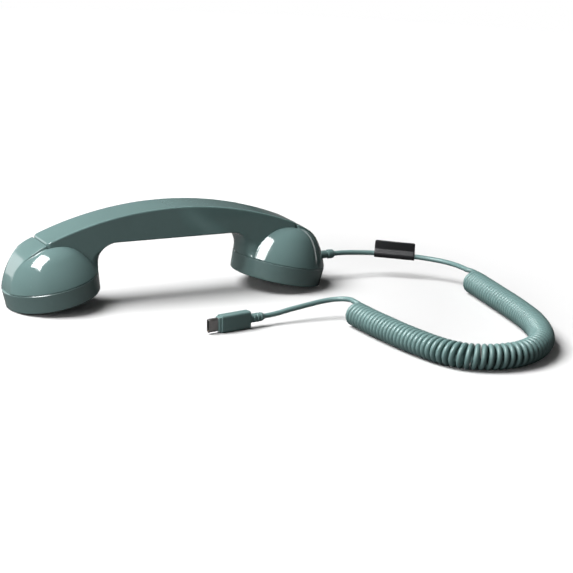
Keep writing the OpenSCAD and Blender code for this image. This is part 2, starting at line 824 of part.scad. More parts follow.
module plug_tongue() {
  // Two inner walls that carry the contacts, with the slot for a socket's tongue between them
  inner_h = shell_h - shell_t;
  color(black) at_plug() translate([relief_l + plug_l - 3, 0, 0]) {
    translate([0, -shell_t / 2 + shell_metal, -inner_h / 2]) cube([3, shell_t - 2 * shell_metal, inner_h]);
    for (s = sides)
      translate([0, s * (shell_t / 2 - shell_metal - carrier_t / 2) - carrier_t / 2, -inner_h / 2])
        cube([shell_l + 2.2, carrier_t, inner_h]);
  }
}

module plug_contacts() {
  wall_y = shell_t / 2 - shell_metal - carrier_t;
  color("gold") at_plug() for (s = sides, i = [-5.5 : 1 : 5.5])
    translate([relief_l + plug_l, s * (wall_y - contact_t / 2) - contact_t / 2, i * 0.5 - 0.12])
      cube([shell_l - 1.4, contact_t, 0.24]);
}

handle_shell();
grip_cover();
ear_dome();
mouth_dome();
ear_cap();
mouth_cap();
ear_cloth();
mouth_cloth();
cap_rings();
speaker_gasket();
speaker_frame();
speaker_cone();
speaker_magnet();
speaker_terminals();
mic_pad();
mic_holder();
mic_boot();
mic_capsule();
main_board();
controller_chips();
wire_sockets();
tact_switch();
switch_plunger();
call_button();
cover_screws();
board_screws();
dome_screws();
cable_clamp();
clamp_screws();
speaker_wires();
mic_wires();
inner_lead();
cord_boot();
cord_lead();
cord_label();
cord_coil();
cord_tail();
plug_relief();
plug_body();
plug_shell();
plug_tongue();
plug_contacts();
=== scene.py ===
import json
import math
import bmesh
import bpy
import numpy as np
from mathutils import Matrix, Vector


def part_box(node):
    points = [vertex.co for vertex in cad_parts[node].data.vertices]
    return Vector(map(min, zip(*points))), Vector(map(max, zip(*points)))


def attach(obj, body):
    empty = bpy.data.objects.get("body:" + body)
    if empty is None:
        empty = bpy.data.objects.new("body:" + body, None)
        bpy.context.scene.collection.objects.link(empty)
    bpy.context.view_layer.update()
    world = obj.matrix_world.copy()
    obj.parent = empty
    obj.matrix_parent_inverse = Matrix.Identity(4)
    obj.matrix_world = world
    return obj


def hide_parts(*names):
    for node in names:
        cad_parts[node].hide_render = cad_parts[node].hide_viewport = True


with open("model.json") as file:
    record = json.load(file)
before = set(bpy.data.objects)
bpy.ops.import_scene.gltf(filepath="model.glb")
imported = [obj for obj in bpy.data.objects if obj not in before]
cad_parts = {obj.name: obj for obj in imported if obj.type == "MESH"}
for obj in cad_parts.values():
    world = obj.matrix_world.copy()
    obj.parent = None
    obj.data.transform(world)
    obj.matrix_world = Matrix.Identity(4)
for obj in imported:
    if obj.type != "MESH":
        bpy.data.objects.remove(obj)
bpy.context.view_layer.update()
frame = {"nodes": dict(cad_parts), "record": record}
nodes = frame["nodes"]
mounts = {m["name"]: m for m in frame["record"]["mounts"]}
mm = 0.001
body = "handset"
print("frame loaded")

# The camera aims at the middle of what is seen, in metres and degrees
cameraSetup = {
    "target": (0.08463, 0, -0.00294),
    "distance": 1.3208,
    "turn": 27.24,  # degrees towards -X
    "rise": 15.39,
    "roll": 2.13,
    "lens": 128.0,
}


def makeCamera(setup):
    turn, rise, roll = (math.radians(setup[k]) for k in ("turn", "rise", "roll"))
    back = Vector((-math.sin(turn) * math.cos(rise), -math.cos(turn) * math.cos(rise), math.sin(rise)))
    level = Vector((math.cos(turn), -math.sin(turn), 0))
    upright = back.cross(level)
    right = math.cos(roll) * level + math.sin(roll) * upright
    up = math.cos(roll) * upright - math.sin(roll) * level
    lens = bpy.data.cameras.new("camera")
    lens.lens = setup["lens"]
    lens.sensor_width = 36
    lens.clip_end = 20
    holder = bpy.data.objects.new("camera", lens)
    bpy.context.scene.collection.objects.link(holder)
    place = Vector(setup["target"]) + back * setup["distance"]
    turned = Matrix((right, up, back)).transposed().to_4x4()
    holder.matrix_world = Matrix.Translation(place) @ turned
    bpy.context.scene.camera = holder


makeCamera(cameraSetup)

# The cord: a straight lead, a coil and a straight tail, in mm
cordSetup = {
    "diameter": 3.2,
    "coilDiameter": 15.3,
    "tightPitch": 3.32,  # turns that touch
    "loosePitch": 3.8,  # where the bend pulls them apart
    "looseFrom": 0.38,  # share of the coil's length
    "looseTo": 0.78,
    "looseFade": 0.08,  # share over which the pitch changes
    "endRun": 11,  # length over which the turns begin and end
    "pointsPerTurn": 20,
    "routeSteps": 30,
    "walkSteps": 8000,  # steps along the coil in which the turns are counted
}
leadRoute = [(118, 0, 16.4), (123, 0, 16.4), (130, -0.2, 16.1), (137, -1, 15.7), (143, -2.3, 15.4),
             (148, -4.5, 15.2), (167, -18.5, 14.8), (172, -22.5, 14.5), (177, -27.5, 14.2),
             (181.5, -34, 14), (184.8, -42, 13.8), (186, -50, 13.7), (186, -57, 13.7)]
coilRoute = [(186, -57), (186, -68), (183, -90), (180, -112), (176.5, -134), (172, -154),
             (165.5, -172), (156.5, -188), (144, -200), (130, -207), (118, -208), (106.5, -205.5),
             (96.5, -199), (90, -188), (86, -173), (83, -155), (81, -136), (79.8, -120),
             (79.2, -108), (79.2, -97)]
tailRoute = [(81.2, -97, 13.3), (81.2, -92.5, 13.3), (78.6, -87, 12.6), (73.5, -83.3, 11.7),
             (67, -81.8, 10.8), (60, -81.6, 9.8), (52.5, -81.8, 8.8), (45, -82.1, 7.8),
             (38, -82.6, 6.7), (32, -83.2, 6.12), (26, -84, 6)]


# A smooth curve through every point
def smoothRoute(points, steps=8):
    pts = np.array(points, float)
    ends = np.vstack([2 * pts[0] - pts[1], pts, 2 * pts[-1] - pts[-2]])
    t = np.linspace(0, 1, steps, endpoint=False)[:, None]
    spans = []
    for a, b, c, d in zip(ends, ends[1:], ends[2:], ends[3:]):
        spans.append(0.5 * (2 * b + (c - a) * t + (2 * a - 5 * b + 4 * c - d) * t ** 2
                            + (3 * b - a - 3 * c + d) * t ** 3))
    return np.vstack(spans + [pts[-1:]])


def runLength(points):
    return np.concatenate([[0], np.cumsum(np.linalg.norm(np.diff(points, axis=0), axis=1))])


def easeIn(x):
    x = np.clip(x, 0, 1)
    return x * x * (3 - 2 * x)


# The turns start at the top of the coil and end where the tail begins
def coilTurns(setup, endPoint):
    quarterTurn = 0.25
    coilR = setup["coilDiameter"] / 2
    turnR = coilR - setup["diameter"] / 2
    middle = smoothRoute([(x, y, coilR) for x, y in coilRoute], setup["routeSteps"])
    along = runLength(middle)
    total = along[-1]
    s = np.linspace(0, total, setup["walkSteps"])
    centre = np.column_stack([np.interp(s, along, middle[:, k]) for k in range(3)])
    share = s / total
    opening = easeIn((share - setup["looseFrom"]) / setup["looseFade"])
    loose = opening * easeIn((setup["looseTo"] - share) / setup["looseFade"])
    pitch = setup["tightPitch"] + (setup["loosePitch"] - setup["tightPitch"]) * loose
    rate = easeIn(s / setup["endRun"]) * easeIn((total - s) / setup["endRun"]) / pitch
    turns = np.concatenate([[0], np.cumsum((rate[1:] + rate[:-1]) / 2 * np.diff(s))])
    offset = np.array(endPoint) - middle[-1]
    endTurn = math.atan2(offset[2], offset[0]) / (2 * math.pi) - quarterTurn
    wanted = round(turns[-1] - endTurn) + endTurn
    turns *= wanted / turns[-1]
    picks = np.linspace(0, wanted, int(wanted * setup["pointsPerTurn"]))
    at = np.interp(picks, turns, s)
    mid = np.column_stack([np.interp(at, s, centre[:, k]) for k in range(3)])
    heading = np.gradient(mid, axis=0)
    across = np.column_stack([heading[:, 1], -heading[:, 0], 0 * at])
    across /= np.linalg.norm(across, axis=1)[:, None]
    angle = (picks + quarterTurn) * 2 * math.pi
    sideways = np.cos(angle)[:, None] * across
    upwards = np.sin(angle)[:, None] * np.array([0, 0, 1])
    return mid + turnR * (sideways + upwards), wanted


def makeCord(setup):
    turns, count = coilTurns(setup, tailRoute[0])
    lead = smoothRoute(leadRoute)
    tail = smoothRoute(tailRoute)
    points = np.vstack([lead[:-1], turns[1:-1], tail[1:]])
    curve = bpy.data.curves.new("cord", "CURVE")
    curve.dimensions = "3D"
    curve.bevel_depth = setup["diameter"] / 2 * mm
    curve.bevel_resolution = 3
    curve.use_fill_caps = True
    spline = curve.splines.new("POLY")
    spline.points.add(len(points) - 1)
    spline.points.foreach_set("co", np.column_stack([points * mm, np.ones(len(points))]).ravel())
    piece = bpy.data.objects.new("cord", curve)
    bpy.context.scene.collection.objects.link(piece)
    length = runLength(points)[-1] * mm
    print(f"cord: {count:.1f} turns, {length:.3f} m")
    return piece, length


cord, cordLength = makeCord(cordSetup)

# The handset's forms, in mm, around the frame's own faces
mouthFace = mounts["mouth_face"]
cupX, cupLift = mouthFace["pos_m"][0] / mm, mouthFace["pos_m"][2] / mm
tilt = math.asin(-mouthFace["axis"][0])
cup = {
    "seamRadius": 30.0,
    "capHeight": 11.7,
    "seamChamfer": 0.45,
    "chamferRound": 0.3,
    "domeHeight": 22.1,
    "crownHeight": 25.0,  # the visible crown bulges past the flat that the handle covers
    "sideRadius": 50.0,
    "sideLean": 16.0,
    "shoulderRadius": 23.0,
    "bandFoot": 6.3,  # half width of the end band near the seam
    "bandFootDrop": 13,  # and how far below the saddle that is
    "bandWaist": 0.78,  # share of the handle's half width, a little below the saddle
    "bandWaistDrop": 5,
    "bandRound": 0.7,
    "bandBlend": 0.7,
    "rimGap": 0.2,  # slit between dome and handle
    "rimRound": 0.55,
    "endRound": 0.35,
    "wall": 2.2,
}
handleHigh = Vector(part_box("handle_shell")[1]) / mm
coverLow, coverHigh = (Vector(c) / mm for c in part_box("grip_cover"))
handle = {
    "end": handleHigh.x,
    "halfWidth": 12.75,
    "crown": handleHigh.z,
    "drop": 16.6,
    "under": coverLow.z,
    "fillet": 12.0,
    "flareRadius": 24.0,
    "flareHeight": 11.0,
    "flareSink": 1,  # how far the flare's foot starts below the seam's high side
    "edgeRound": 1.0,
    "endCorner": 2.6,
    "neckEdge": 0.8,  # rounding of the necks' inner edges at the seam and at the grip
    "neckSoft": 4.2,  # added to it half way up the neck
    "softBelow": 1,  # where it starts below the grip, and how fast it grows
    "softFade": 9,
    "softAbove": 3,  # where it starts above the seam, and how fast it grows
    "softRise": 6,
    "saddleDepth": 2.9,
    "saddleSeat": 2,  # how far the handle's ends reach below the saddle
    "neckSetback": 13,
    "endLip": 1.0,
    "endCut": 1.3,
    "endBack": 2.5,
    "coverGap": 0.15,
    "coverSeat": 0.05,
    "coverRound": 0.25,
    "solidEnd": 9,  # how far before each neck's back the hollow stops
    "wall": 2.2,
}
seamX = cupX + cup["capHeight"] * math.sin(tilt)
seamZ = cupLift + cup["capHeight"] * math.cos(tilt)
domeTop = cupLift + (cup["capHeight"] + cup["domeHeight"]) * math.cos(tilt)
saddleZ = domeTop - handle["saddleDepth"]
archRadius = (handle["end"] ** 2 + handle["drop"] ** 2) / (2 * handle["drop"])
neckRound = cup["seamRadius"] * math.cos(tilt)
neckBack = seamX - math.sqrt(neckRound ** 2 - handle["halfWidth"] ** 2) + handle["neckSetback"]
flareTop = seamZ + cup["seamRadius"] * math.sin(tilt) - handle["flareSink"] + handle["flareHeight"]
endArcX = seamX - handle["endBack"]
endArcRadius = neckRound - handle["endCut"] + handle["endBack"]
endArcZ = (handle["crown"] - handle["drop"] - handle["endLip"]
           - math.sqrt(endArcRadius ** 2 - (handle["end"] - endArcX) ** 2))
farOut = 60  # a form's value well outside its piece
farIn = -20


# A form is negative inside its piece; roundMax keeps what is in both, with its edge rounded to r
def roundMax(a, b, r):
    outer = np.hypot(np.maximum(a + r, 0), np.maximum(b + r, 0))
    return outer + np.minimum(np.maximum(a + r, b + r), 0) - r


def roundMin(a, b, r):
    return -roundMax(-a, -b, r)


# Along and up from the middle of the nearer cup's face
def cupLocal(x, z):
    dx, dz = np.abs(x) - cupX, z - cupLift
    return dx * math.cos(tilt) - dz * math.sin(tilt), dx * math.sin(tilt) + dz * math.cos(tilt)


def handleSides(y, z):
    r = handle["flareRadius"]
    below = np.clip(flareTop - z, 0, handle["flareHeight"] + handle["flareSink"])
    reach = np.sqrt(r * r - below * below)
    halfWidth = handle["halfWidth"] + r - reach
    return (np.abs(y) - halfWidth) / np.sqrt(1 + (below / reach) ** 2)


def handleForm(x, y, z):
    ax, f = np.abs(x), handle["fillet"]
    sides = handleSides(y, z)
    arch = np.hypot(x, z - handle["crown"] + archRadius) - archRadius
    front = seamX - np.sqrt(np.maximum(neckRound ** 2 - y * y, 1))
    qx, qz = ax - (front - f), z - (handle["under"] - f)
    gap = np.hypot(np.maximum(qx, 0), np.maximum(qz, 0)) + np.minimum(np.maximum(qx, qz), 0) - f
    underGrip = easeIn((handle["under"] - handle["softBelow"] - z) / handle["softFade"])
    overSeam = easeIn((z - seamZ - handle["softAbove"]) / handle["softRise"])
    softness = handle["neckEdge"] + handle["neckSoft"] * underGrip * overSeam
    shape = roundMax(sides, ax - handle["end"], handle["endCorner"])
    shape = roundMax(shape, arch, handle["edgeRound"])
    shape = roundMax(shape, -gap, softness)
    up = cupLocal(x, z)[1]
    shape = np.maximum(shape, cup["capHeight"] - up)
    shape = np.maximum(shape, np.minimum(saddleZ - handle["saddleSeat"] - z, ax - neckBack))
    coverX, coverY = coverHigh.x + handle["coverGap"], coverHigh.y + handle["coverGap"]
    recess = np.maximum(np.maximum(ax - coverX, np.abs(y) - coverY), z - coverHigh.z)
    solid = farOut * (ax > neckBack - handle["solidEnd"])
    hollow = np.maximum(shape + handle["wall"], coverHigh.z - handle["coverSeat"] - z + solid)
    return np.maximum(roundMax(shape, -recess, handle["coverRound"]), -hollow)


def domeForm(x, y, z):
    along, up = cupLocal(x, z)
    rho, h = np.hypot(along, y), up - cup["capHeight"]
    sideX = cup["seamRadius"] - cup["sideRadius"] * math.cos(math.radians(cup["sideLean"]))
    sideZ = -cup["sideRadius"] * math.sin(math.radians(cup["sideLean"]))
    topZ = cup["crownHeight"] - cup["shoulderRadius"]
    topX = sideX + math.sqrt((cup["sideRadius"] - cup["shoulderRadius"]) ** 2 - (topZ - sideZ) ** 2)
    knee = math.atan2(topZ - sideZ, topX - sideX)
    side = np.hypot(rho - sideX, h - sideZ) - cup["sideRadius"]
    top = np.hypot(rho - topX, h - topZ) - cup["shoulderRadius"]
    top = np.where(rho < topX, h - cup["crownHeight"], top)
    dome = np.where(np.arctan2(h - sideZ, rho - sideX) < knee, side, top)
    ax, ay = np.abs(x), np.abs(y)
    bandHalf = np.interp(z, [saddleZ - cup["bandFootDrop"], saddleZ - cup["bandWaistDrop"], saddleZ],
                         [cup["bandFoot"], handle["halfWidth"] * cup["bandWaist"], handle["halfWidth"]])
    arc = np.where(ax > endArcX, np.hypot(ax - endArcX, z - endArcZ) - endArcRadius, farIn)
    band = roundMax(ay - bandHalf, np.maximum(arc, endArcX - ax), cup["bandRound"])
    shape = roundMin(dome, band, cup["bandBlend"])
    shape = roundMax(shape, arc, cup["endRound"])
    chamfer = (rho - cup["seamRadius"] + cup["seamChamfer"] - h) * math.sqrt(0.5)
    shape = roundMax(shape, chamfer, cup["chamferRound"])
    inHandle = np.maximum(ax - handle["end"] - cup["rimGap"], np.minimum(saddleZ - z, ax - neckBack))
    slit = np.maximum(handleSides(y, z) - cup["rimGap"], inHandle)
    shape = roundMax(shape, -slit, cup["rimRound"])
    return np.maximum(np.maximum(shape, -h), -shape - cup["wall"])


meshing = {
    "step": 0.45,
    "moves": 6,  # times that each point is moved towards the surface
    "longestMove": 0.6,  # share of a step
    "leastSlope": 0.2,
    "tiny": 1e-9,  # keeps a length of 0 from being divided by
}


# A closed mesh of the places where form is 0: one point in each grid cell that the surface crosses,
# moved onto the surface, with the form's own normals
def meshFromForm(name, form, low, high):
    step, tiny = meshing["step"], meshing["tiny"]
    axes = [np.arange(low[k], high[k] + step, step) for k in range(3)]
    gx, gy, gz = np.meshgrid(*axes, indexing="ij")
    values = form(gx, gy, gz)
    inside = values < 0
    shape = inside.shape
    weight = np.zeros([n - 1 for n in shape])
    place = np.zeros([n - 1 for n in shape] + [3])
    quads = []
    for k in range(3):
        near = [slice(None)] * 3
        far = [slice(None)] * 3
        near[k], far[k] = slice(0, -1), slice(1, None)
        near, far = tuple(near), tuple(far)
        cut = np.argwhere(inside[near] != inside[far])
        v0, v1 = values[near][tuple(cut.T)], values[far][tuple(cut.T)]
        point = cut.astype(float)
        point[:, k] += v0 / (v0 - v1)
        others = [i for i in range(3) if i != k]
        cells = []
        for da, db in ((0, 0), (1, 0), (1, 1), (0, 1)):
            cell = cut.copy()
            cell[:, others[0]] -= da
            cell[:, others[1]] -= db
            np.add.at(weight, tuple(cell.T), 1)
            np.add.at(place, tuple(cell.T), point)
            cells.append(cell)
        loop = np.stack(cells, axis=1)
        flipped = inside[near][tuple(cut.T)] == (k == 1)
        loop[flipped] = loop[flipped][:, ::-1]
        quads.append(loop)
    used = np.argwhere(weight > 0)
    number = np.full(weight.shape, -1)
    number[tuple(used.T)] = np.arange(len(used))
    points = place[tuple(used.T)] / weight[tuple(used.T)][:, None] * step + np.array(low)
    for turn in range(meshing["moves"]):
        value, slope = gradient(form, points)
        size = np.maximum((slope ** 2).sum(1), meshing["leastSlope"])
        move = slope * (value / size)[:, None]
        moved = np.maximum(np.linalg.norm(move, axis=1), tiny)
        points -= move * np.minimum(1, meshing["longestMove"] * step / moved)[:, None]
    normals = gradient(form, points)[1]
    normals /= np.maximum(np.linalg.norm(normals, axis=1), tiny)[:, None]
    loops = np.concatenate(quads)
    faces = number[loops[..., 0], loops[..., 1], loops[..., 2]]
    mesh = bpy.data.meshes.new(name)
    mesh.vertices.add(len(points))
    mesh.vertices.foreach_set("co", (points * mm).ravel())
    mesh.loops.add(faces.size)
    mesh.loops.foreach_set("vertex_index", faces.ravel().astype(np.int32))
    mesh.polygons.add(len(faces))
    mesh.polygons.foreach_set("loop_start", np.arange(0, faces.size, 4, dtype=np.int32))
    mesh.update(calc_edges=True)
    mesh.validate()
    mesh.polygons.foreach_set("use_smooth", np.ones(len(mesh.polygons), bool))
    if len(mesh.vertices) == len(normals):
        mesh.normals_split_custom_set_from_vertices([tuple(n) for n in normals])
    piece = bpy.data.objects.new(name, mesh)
    bpy.context.scene.collection.objects.link(piece)
    print(f"{name}: {len(faces)} faces")
    return piece


# The form's values at the points, and which way and how fast they grow
def gradient(form, points, reach=0.02):
    x, y, z = points.T
    slopes = []
    for k in range(3):
        dx, dy, dz = (reach if i == k else 0 for i in range(3))
        rise = form(x + dx, y + dy, z + dz) - form(x - dx, y - dy, z - dz)
        slopes.append(rise / (2 * reach))
    return form(x, y, z), np.stack(slopes, axis=1)


# The corners of each grid; odd fractions keep its points off the flat faces
handleGrid = ((-handle["end"] - 2.13, -20.07, 14.03), (handle["end"] + 2, 20, handle["crown"] + 2))
domeGrid = ((seamX - 31.13, -31.07, 9.03), (seamX + 32, 31, 43))
handlePiece = meshFromForm("handle_casing", handleForm, *handleGrid)
mouthDome = meshFromForm("mouth_dome_shell", domeForm, *domeGrid)


# The same piece at the other end of the handset
def mirrored(piece, name):
    mesh = piece.data.copy()
    mesh.name = name
    co = np.zeros(len(mesh.vertices) * 3)
    mesh.vertices.foreach_get("co", co)
    co = co.reshape(-1, 3) * (-1, 1, 1)
    mesh.vertices.foreach_set("co", co.ravel())
    mesh.flip_normals()
    mesh.update()
    normals = gradient(domeForm, co / mm)[1]
    normals /= np.linalg.norm(normals, axis=1)[:, None]
    mesh.normals_split_custom_set_from_vertices([tuple(n) for n in normals])
    copy = bpy.data.objects.new(name, mesh)
    bpy.context.scene.collection.objects.link(copy)
    return copy


earDome = mirrored(mouthDome, "ear_dome_shell")


# Small turned, lofted and folded pieces
def pieceFrom(name, verts, faces, smooth=True):
    mesh = bpy.data.meshes.new(name)
    mesh.from_pydata([tuple(float(c) * mm for c in v) for v in verts], [], faces)
    mesh.update()
    mesh.polygons.foreach_set("use_smooth", [smooth] * len(mesh.polygons))
    piece = bpy.data.objects.new(name, mesh)
    bpy.context.scene.collection.objects.link(piece)
    return piece


def axesAlong(direction):
    ahead = Vector(direction).normalized()
    side = ahead.cross(Vector((0, 0, 1))).normalized()
    return ahead, side, side.cross(ahead)


# Rounds each corner of an open outline of (along, radius, rounding) points
def roundedOutline(corners, steps=5):
    justOverTwo = 2.01  # so that two rounded corners never meet
    pts = [Vector(c[:2]) for c in corners]
    out = [pts[0]]
    for before, here, after, corner in zip(pts, pts[1:], pts[2:], corners[1:]):
        inward, onward = (before - here), (after - here)
        reach = min(corner[2], inward.length / justOverTwo, onward.length / justOverTwo)
        a, b = here + inward.normalized() * reach, here + onward.normalized() * reach
        for k in range(steps + 1):
            t = k / steps
            out.append((1 - t) ** 2 * a + 2 * t * (1 - t) * here + t * t * b)
    return out + [pts[-1]]


# Rings around an axis, closed at both ends: outline gives (along, size), ring(size, angle) gives (side, up)
def loft(name, start, direction, outline, ring, count=72):
    ahead, side, up = axesAlong(direction)
    verts, faces = [], []
    for along, size in outline:
        for k in range(count):
            y, z = ring(size, 2 * math.pi * k / count)
            verts.append(Vector(start) + ahead * along + side * y + up * z)
    for i in range(len(outline) - 1):
        for k in range(count):
            j = (k + 1) % count
            faces.append((i * count + k, i * count + j, (i + 1) * count + j, (i + 1) * count + k))
    faces.append(tuple(range(count))[::-1])
    faces.append(tuple((len(outline) - 1) * count + k for k in range(count)))
    piece = pieceFrom(name, verts, faces)
    fixNormals(piece)
    return piece


def roundRing(radius, angle):
    return radius * math.cos(angle), radius * math.sin(angle)


# Turns every face outwards and keeps the sharp edges sharp
def fixNormals(piece, sharpFrom=35):
    work = bmesh.new()
    work.from_mesh(piece.data)
    bmesh.ops.recalc_face_normals(work, faces=work.faces)
    for edge in work.edges:
        if len(edge.link_faces) == 2 and edge.calc_face_angle(0) > math.radians(sharpFrom):
            edge.smooth = False
    work.to_mesh(piece.data)
    work.free()


boot = {
    "insideX": handle["end"] + 16,
    "sleeve": 2.6,
    "ring": 2.95,
    "neck": 2.15,
    "ringFrom": 4.6,  # distances back from where the cord leaves it
    "ringTo": 1.0,
    "grooveFrom": 5.8,
    "grooveTo": 5.6,
    "tip": 2.3,
}
onAxis = 0.01  # the radius of a turned piece's middle


def makeBoot(size):
    end = leadRoute[0][0]
    ringFrom, ringTo = end - size["ringFrom"], end - size["ringTo"]
    corners = [(size["insideX"], onAxis, 0), (size["insideX"], size["sleeve"], 0.2),
               (end - size["grooveFrom"], size["sleeve"], 0.3), (end - size["grooveTo"], size["neck"], 0.2),
               (ringFrom, size["neck"], 0.2), (ringFrom, size["ring"], 0.3),
               (ringTo, size["ring"], 0.3), (end, size["tip"], 0.3), (end, onAxis, 0)]
    start = (0, 0, leadRoute[0][2])
    return loft("boot_sleeve", start, (1, 0, 0), roundedOutline(corners), roundRing)


bootPiece = makeBoot(boot)

plug = {
    "height": 10.6,
    "thickness": 6.2,
    "corner": 1.25,
    "length": 22.0,
    "edge": 0.5,
    "reliefLength": 10.0,
    "reliefRadius": 2.75,
    "reliefFoot": 1.9,  # radius where the tail goes in
    "reliefOverlap": (0.6, 0.4),  # how far it covers the tail and goes into the grip
    "reliefGrooves": ((2.0, 3.2), (4.6, 5.8), (7.2, 8.2)),
    "grooveDepth": 0.6,
    "frontDepth": 1.6,  # the front plate, set in all round
    "frontInset": 0.75,
    "shellHeight": 8.34,
    "shellThickness": 2.56,
    "shellLength": 6.65,
    "shellWall": 0.3,
    "shellRoot": 0.5,  # how far it starts inside the grip
}
plugStart = Vector(tailRoute[-1])
plugAhead = (plugStart - Vector(tailRoute[-2])).normalized()


# A ring in the shape of a box with round corners, shrunk by its inset
def roundedBox(width, height, corner):
    def ring(inset, angle):
        w, h = width / 2 - inset, height / 2 - inset
        r = max(min(corner - inset, w, h), 0.02)
        c, s = math.cos(angle), math.sin(angle)
        power = 1 / max(abs(c), abs(s))
        px, py = c * power * w, s * power * h
        dx, dy = abs(px) - (w - r), abs(py) - (h - r)
        if dx > 0 and dy > 0:
            scale = r / math.hypot(dx, dy)
            px = math.copysign(w - r + dx * scale, px)
            py = math.copysign(h - r + dy * scale, py)
        return px, py
    return ring


def makeRelief(size):
    r, inner = size["reliefRadius"], size["reliefRadius"] - size["grooveDepth"]
    back, ahead = size["reliefOverlap"]
    end = size["reliefLength"] + ahead
    corners = [(-back, onAxis, 0), (-back, size["reliefFoot"], 0.2), (1.2, r - 0.1, 0.5)]
    for a, b in size["reliefGrooves"]:
        corners += [(a, r, 0.2), (a + 0.1, inner, 0.15), (b - 0.1, inner, 0.15), (b, r, 0.2)]
    corners += [(end, r, 0.1), (end, onAxis, 0)]
    return loft("plug_relief_sleeve", plugStart, plugAhead, roundedOutline(corners), roundRing)


def makePlugBody(size):
    edge, length = size["edge"], size["length"]
    start = plugStart + plugAhead * size["reliefLength"]
    arc = [(edge * (1 - math.cos(t)), edge * (1 - math.sin(t))) for t in np.linspace(0, math.pi / 2, 6)]
    innermost = size["thickness"] / 2 - 0.4
    front, inset = length - size["frontDepth"], size["frontInset"]
    outline = [(0, innermost), (0, edge + 0.6)] + arc
    outline += [(front - a, i) for a, i in reversed(arc)]
    outline += [(front, inset), (front + 0.05, inset + 0.05), (length - 0.4, inset + 0.1),
                (length, inset + 0.4), (length, innermost)]
    return loft("plug_grip", start, plugAhead, outline,
                roundedBox(size["thickness"], size["height"], size["corner"]), 96)


# An open sleeve: the outline goes out along its outside, back along its inside and closes it at its root
def makePlugShell(size):
    start = plugStart + plugAhead * (size["reliefLength"] + size["length"] - size["shellRoot"])
    length, wall = size["shellLength"] + size["shellRoot"], size["shellWall"]
    half = size["shellThickness"] / 2
    outline = [(0, wall), (0, 0), (length - 0.25, 0), (length - 0.08, 0.05), (length, 0.14),
               (length, wall - 0.06), (length - 0.08, wall), (0.7, wall), (0.7, half - 0.1)]
    return loft("plug_steel_shell", start, plugAhead, outline,
                roundedBox(size["shellThickness"], size["shellHeight"], half - 0.01), 96)


reliefPiece = makeRelief(plug)
plugBody = makePlugBody(plug)
plugShell = makePlugShell(plug)

label = {
    "length": 26.4,
    "top": 9.0,  # height of the flag above the cord's axis
    "flagHalf": 0.6,
    "loop": 2.6,
    "corner": 0.9,
    "bow": 0.35,
    "bowWave": 0.19,  # turn of the bow per mm of length, and where it starts
    "bowStart": 0.6,
    "after": 5,  # the lead's point before the label
}


# A strip folded over the cord and stuck to itself: a loop round the cord, then two sides up to a round top
def makeLabel(size):
    a, b = Vector(leadRoute[size["after"]]), Vector(leadRoute[size["after"] + 1])
    ahead, side, up = axesAlong(b - a)
    centre = (a + b) / 2
    neckAngle = math.asin(size["flagHalf"] / size["loop"]) + 0.35
    section = []
    for t in np.linspace(math.pi / 2 + neckAngle, math.pi / 2 - neckAngle + 2 * math.pi, 40):
        section.append((size["loop"] * math.cos(t), size["loop"] * math.sin(t)))
    foot, top, half = size["loop"] + 0.7, size["top"], size["flagHalf"]
    rising = [(half, z) for z in np.linspace(foot, top - half, 10)]
    turn = np.linspace(0.3, math.pi - 0.3, 7)
    crown = [(half * math.cos(t), top - half + half * math.sin(t)) for t in turn]
    section += rising + crown + [(-y, z) for y, z in reversed(rising)]
    verts, faces, n = [], [], len(section)
    ease = [(0, 0.25), (0.12, 0.08), (0.3, 0)]
    rows = [(-size["length"] / 2 + d, i) for d, i in ease]
    rows += [(x, 0) for x in np.linspace(-size["length"] / 2 + 1.2, size["length"] / 2 - 1.2, 24)]
    rows += [(size["length"] / 2 - d, i) for d, i in reversed(ease)]
    for along, inset in rows:
        fromEnd = size["length"] / 2 - abs(along)
        r = size["corner"]
        lower = r - math.sqrt(max(r * r - max(r - fromEnd, 0) ** 2, 0))
        bow = size["bow"] * math.sin(along * size["bowWave"] + size["bowStart"])
        for y, z in section:
            lift = max(0, (z - foot) / (top - foot))
            sideways = y * (1 - inset) + bow * lift
            height = z - (lower + inset) * lift
            verts.append(centre + ahead * along + side * sideways + up * height)
    for i in range(len(rows) - 1):
        for k in range(n):
            j = (k + 1) % n
            faces.append((i * n + k, i * n + j, (i + 1) * n + j, (i + 1) * n + k))
    faces.append(tuple(range(n))[::-1])
    faces.append(tuple((len(rows) - 1) * n + k for k in range(n)))
    piece = pieceFrom("label_flag", verts, faces)
    fixNormals(piece)
    return piece


labelPiece = makeLabel(label)
print("cord fittings made")


# Surface effects that several materials share
def wire(tree, source, target):
    tree.links.new(source, target)


def newGroup(name, inputs, outputs):
    tree = bpy.data.node_groups.new(name, "ShaderNodeTree")
    for label, kind, value in inputs:
        socket = tree.interface.new_socket(label, in_out="INPUT", socket_type="NodeSocket" + kind)
        socket.default_value = value
    for label, kind in outputs:
        tree.interface.new_socket(label, in_out="OUTPUT", socket_type="NodeSocket" + kind)
    return tree, tree.nodes.new("NodeGroupInput").outputs, tree.nodes.new("NodeGroupOutput").inputs


def noise(tree, place, scale, detail, rough=0.5):
    node = tree.nodes.new("ShaderNodeTexNoise")
    wire(tree, place, node.inputs["Vector"])
    if isinstance(scale, (int, float)):
        node.inputs["Scale"].default_value = scale
    else:
        wire(tree, scale, node.inputs["Scale"])
    node.inputs["Detail"].default_value = detail
    node.inputs["Roughness"].default_value = rough
    return node.outputs[0]


def maths(tree, kind, a, b=0.0, clamp=False):
    node = tree.nodes.new("ShaderNodeMath")
    node.operation = kind
    node.use_clamp = clamp
    for socket, value in zip(node.inputs, (a, b)):
        if isinstance(value, (int, float)):
            socket.default_value = value
        else:
            wire(tree, value, socket)
    return node.outputs[0]


